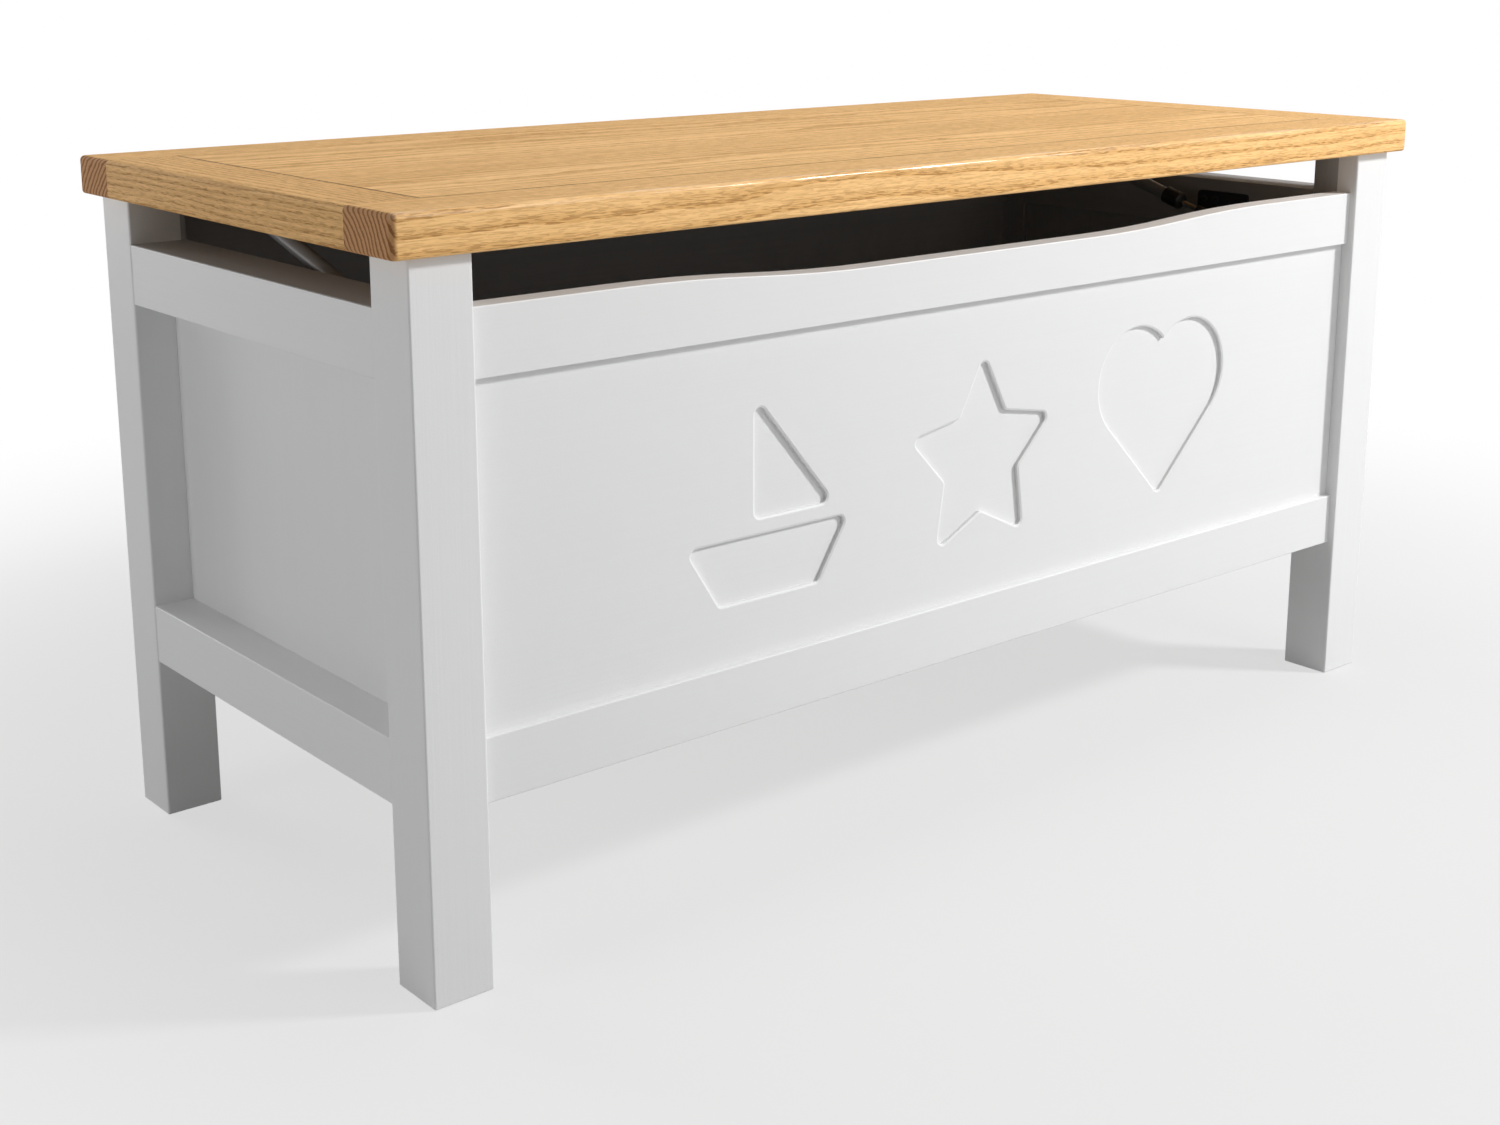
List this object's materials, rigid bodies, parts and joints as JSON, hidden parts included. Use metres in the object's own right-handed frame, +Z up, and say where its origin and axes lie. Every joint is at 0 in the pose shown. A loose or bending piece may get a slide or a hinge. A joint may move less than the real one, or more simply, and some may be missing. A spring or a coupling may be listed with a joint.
{
  "type": "wooden toy box",
  "caption": "Painted wooden toy box on square legs with a scooped front rail, routed front panel and a framed oak lid on rear hinges, held open by gas struts.",
  "frame": {"origin": "on the floor under the middle of the overall box", "axes": "+X along the length, towards the right end seen from the front; front faces -Y; +Z up"},
  "size_m": [1.042, 0.4605, 0.513],
  "materials": {
    "white_paint": "satin white paint",
    "oak": "oiled oak",
    "base_board": "primed board",
    "zinc_steel": "zinc plated",
    "bright_steel": "ground and plated",
    "strut_grey": "dark grey enamel",
    "black_steel": "black powder coat",
    "black_plastic": "moulded"
  },
  "bodies": {
    "carcass": {"base_panel": "base_board", "front_bottom_rail": "white_paint", "front_cleat": "base_board", "front_panel": "white_paint", "front_top_rail": "white_paint", "hinge_left_pin": "zinc_steel", "hinge_left_rail_leaf": "zinc_steel", "hinge_rail_screws": "zinc_steel", "hinge_right_pin": "zinc_steel", "hinge_right_rail_leaf": "zinc_steel", "left_bottom_rail": "white_paint", "left_panel": "white_paint", "left_top_rail": "white_paint", "leg_front_left": "white_paint", "leg_front_right": "white_paint", "leg_rear_left": "white_paint", "leg_rear_right": "white_paint", "rear_bottom_rail": "white_paint", "rear_cleat": "base_board", "rear_panel": "white_paint", "rear_top_rail": "white_paint", "right_bottom_rail": "white_paint", "right_panel": "white_paint", "right_top_rail": "white_paint", "strut_left_side_plate": "black_steel", "strut_right_side_plate": "black_steel", "strut_side_screws": "zinc_steel"},
    "lid": {"hinge_left_lid_leaf": "zinc_steel", "hinge_lid_screws": "zinc_steel", "hinge_right_lid_leaf": "zinc_steel", "lid_centre_panel": "oak", "lid_front_rail": "oak", "lid_left_end": "oak", "lid_rear_rail": "oak", "lid_right_end": "oak", "strut_left_lid_bracket": "black_steel", "strut_left_lid_pin": "black_steel", "strut_lid_screws": "zinc_steel", "strut_right_lid_bracket": "black_steel", "strut_right_lid_pin": "black_steel"},
    "left_strut_cylinder": {"strut_left_tube": "strut_grey", "strut_left_gland": "black_plastic", "strut_left_lid_eye": "black_steel"},
    "left_strut_rod": {"strut_left_rod": "bright_steel", "strut_left_piston": "bright_steel", "strut_left_rod_eye": "black_steel", "strut_left_rivet": "black_steel"},
    "right_strut_cylinder": {"strut_right_tube": "strut_grey", "strut_right_gland": "black_plastic", "strut_right_lid_eye": "black_steel"},
    "right_strut_rod": {"strut_right_rod": "bright_steel", "strut_right_piston": "bright_steel", "strut_right_rod_eye": "black_steel", "strut_right_rivet": "black_steel"}
  },
  "joints": [
    {"name": "lid_hinge", "type": "hinge", "parent": "carcass", "child": "lid", "pos_m": [0, 0.22625, 0.485], "axis": [-1, 0, 0], "range_deg": [0, 70]},
    {"name": "left_strut_swing", "type": "hinge", "parent": "lid", "child": "left_strut_cylinder", "pos_m": [-0.4385, 0.10475, 0.474], "axis": [1, 0, 0], "range_deg": [0, 87.81]},
    {"name": "left_strut_extend", "type": "slide", "parent": "left_strut_cylinder", "child": "left_strut_rod", "axis": [0, -0.9578, -0.2873], "range_m": [0, 0.11674]},
    {"name": "right_strut_swing", "type": "hinge", "parent": "lid", "child": "right_strut_cylinder", "pos_m": [0.4385, 0.10475, 0.474], "axis": [1, 0, 0], "range_deg": [0, 87.81]},
    {"name": "right_strut_extend", "type": "slide", "parent": "right_strut_cylinder", "child": "right_strut_rod", "axis": [0, -0.9578, -0.2873], "range_m": [0, 0.11674]}
  ],
  "couplings": [
    {"joint": "left_strut_swing", "follows": "lid_hinge", "ratio": 1.2543},
    {"joint": "left_strut_extend", "follows": "lid_hinge", "m_per_rad": 0.095468},
    {"joint": "right_strut_swing", "follows": "lid_hinge", "ratio": 1.2543},
    {"joint": "right_strut_extend", "follows": "lid_hinge", "m_per_rad": 0.095468}
  ]
}
